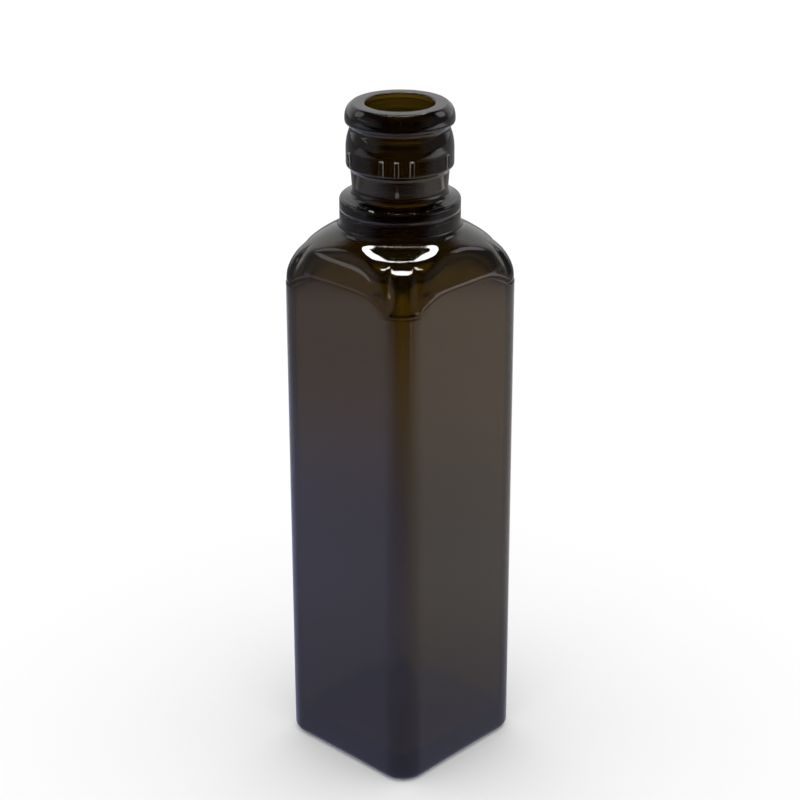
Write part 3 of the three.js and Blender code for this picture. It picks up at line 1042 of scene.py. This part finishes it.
def floor_in_reflections():
    """The white paper as the glass reflects it, cooler near the bottle, and the floor past its end."""
    pattern = GlowPattern("paper_reflected")
    sheet = pattern.product(
        pattern.fade(pattern.away, PAPER_FRONT),
        pattern.fade(pattern.distance, PAPER_NEAR),
        pattern.fade(pattern.distance, PAPER_END),
        pattern.fade(pattern.side, PAPER_LEFT),
    )
    lit_side = pattern.fade(pattern.side, LIT_SIDE)
    horizon = pattern.product(
        lit_side,
        pattern.fade(pattern.distance, HORIZON_START),
        pattern.fade(pattern.away, HORIZON_IN_FRONT),
        pattern.fade(pattern.away, HORIZON_BEHIND),
    )
    pale_ring = pattern.product(
        lit_side,
        pattern.fade(pattern.distance, PALE_RING_START),
        pattern.fade(pattern.distance, PALE_RING_END),
    )
    pattern.set_strength(pattern.total(sheet, horizon, pale_ring))
    warmth = pattern.total(
        pattern.fade(pattern.side, WARM_SIDE),
        pattern.fade(pattern.distance, WARM_REACH),
    )
    pattern.set_colour(COOL_PAPER, WARM_PAPER, warmth)
    paper_card(pattern, glossy=True)


def floor_through_glass():
    """The floor as the glass shows it from inside: shaded by the bottle near its foot."""
    pattern = GlowPattern("paper_seen_through")
    near_floor = pattern.product(
        pattern.fade(pattern.distance, SEEN_SHADE),
        pattern.fade(pattern.side, SEEN_LEFT),
        pattern.fade(pattern.distance, SEEN_END),
    )
    pattern.set_strength(pattern.total(near_floor, pattern.fade(pattern.distance, SEEN_FAR_FLOOR)))
    paper_card(pattern, transmission=True)


def studio_room(name, studio, backdrop_share, **seen_by):
    """The dim room round the set, with a pale backdrop behind it."""
    mesh = bpy.data.meshes.new(name)
    shape = bmesh.new()
    bmesh.ops.create_icosphere(shape, subdivisions=ROOM_ROUNDNESS, radius=1)
    shape.to_mesh(mesh)
    shape.free()
    room = put_in_scene(name, mesh)
    room.scale = (ROOM_RADIUS, ROOM_RADIUS, ROOM_RADIUS)
    face_the_camera(room)
    pattern = GlowPattern(name)
    wall_start, wall_end = WALL_REACH
    backdrop = pattern.product(
        pattern.fade(pattern.away, Fade(*BACKDROP_BEHIND, 0, backdrop_share * studio.backdrop)),
        pattern.fade(pattern.up, BACKDROP_TOP),
    )
    left = pattern.fade(pattern.side, Fade(-wall_end, -wall_start, studio.left_wall, 0))
    right = pattern.fade(pattern.side, Fade(wall_start, wall_end, 0, studio.right_wall))
    pattern.set_strength(pattern.plus(pattern.total(backdrop, left, right), studio.darkness))
    mesh.materials.append(pattern.material)
    seen_only_by(room, **seen_by)


def white_surround(studio):
    """The world: plain white for the camera and for matt surfaces only."""
    world = bpy.data.worlds.new("surround")
    bpy.context.scene.world = world
    world.use_nodes = True
    background = world.node_tree.nodes["Background"]
    background.inputs["Color"].default_value = (*WHITE, 1)
    background.inputs["Strength"].default_value = studio.surround
    world.cycles_visibility.glossy = False
    world.cycles_visibility.transmission = False


class BOTTLE_OT_stage(bpy.types.Operator):
    """Make the floor, the white surround and the soft lights"""

    bl_idname = "bottle.stage"
    bl_label = "Studio"

    def execute(self, context):
        studio = context.scene.studio_look
        context.scene.view_settings.view_transform = "Standard"
        white_surround(studio)
        pale_floor()
        floor_in_reflections()
        floor_through_glass()
        studio_room("room_reflected", studio, 1, glossy=True)
        studio_room("room_seen_through", studio, BACKDROP_SEEN_THROUGH, transmission=True)
        for light in SOFT_LIGHTS:
            soft_light(light, studio.softbox)
        ring_light(studio.softbox)
        return {"FINISHED"}


class BOTTLE_OT_camera(bpy.types.Operator):
    """Place the camera at the photo's viewing angle"""

    bl_idname = "bottle.camera"
    bl_label = "Camera"

    def execute(self, context):
        data = bpy.data.cameras.new("camera")
        camera = bpy.data.objects.new("camera", data)
        context.scene.collection.objects.link(camera)
        data.lens = CAMERA_LENS_MM
        data.sensor_width = CAMERA_SENSOR_MM
        data.shift_y = CAMERA_SHIFT_Y
        data.clip_start = CAMERA_NEAREST
        data.clip_end = CAMERA_FURTHEST
        right = studio_direction(1, 0, 0)
        ahead = studio_direction(0, math.cos(CAMERA_PITCH), -math.sin(CAMERA_PITCH))
        up = studio_direction(0, math.sin(CAMERA_PITCH), math.cos(CAMERA_PITCH))
        rolled_right = right * math.cos(CAMERA_ROLL) + up * math.sin(CAMERA_ROLL)
        rolled_up = up * math.cos(CAMERA_ROLL) - right * math.sin(CAMERA_ROLL)
        turn = Matrix((rolled_right, rolled_up, -ahead)).transposed().to_4x4()
        place = studio_direction(CAMERA_SIDE, -CAMERA_DISTANCE, CAMERA_HEIGHT)
        camera.matrix_world = Matrix.Translation(place) @ turn
        context.scene.camera = camera
        return {"FINISHED"}


class BOTTLE_PT_panel(bpy.types.Panel):
    """The bottle's sizes and looks, and the buttons that make it"""

    bl_idname = "BOTTLE_PT_panel"
    bl_label = "Marasca bottle"
    bl_space_type = "VIEW_3D"
    bl_region_type = "UI"
    bl_category = "Bottle"

    def draw(self, context):
        scene = context.scene
        for group in (scene.bottle_sizes, scene.glass_look, scene.studio_look):
            box = self.layout.box()
            for name in group.__annotations__:
                box.prop(group, name)
        for operator in OPERATORS:
            self.layout.operator(operator.bl_idname)


GROUPS = (BottleSizes, GlassLook, StudioLook)
OPERATORS = (BOTTLE_OT_camera, BOTTLE_OT_glass, BOTTLE_OT_stage)
CLASSES = (*GROUPS, *OPERATORS, BOTTLE_PT_panel)


def register():
    for cls in CLASSES:
        bpy.utils.register_class(cls)
    bpy.types.Scene.bottle_sizes = bpy.props.PointerProperty(type=BottleSizes)
    bpy.types.Scene.glass_look = bpy.props.PointerProperty(type=GlassLook)
    bpy.types.Scene.studio_look = bpy.props.PointerProperty(type=StudioLook)


def unregister():
    del bpy.types.Scene.bottle_sizes
    del bpy.types.Scene.glass_look
    del bpy.types.Scene.studio_look
    for cls in reversed(CLASSES):
        bpy.utils.unregister_class(cls)


def main():
    register()
    bpy.ops.bottle.camera()
    bpy.ops.bottle.glass()
    bpy.ops.bottle.stage()


if __name__ == "__main__":
    main()
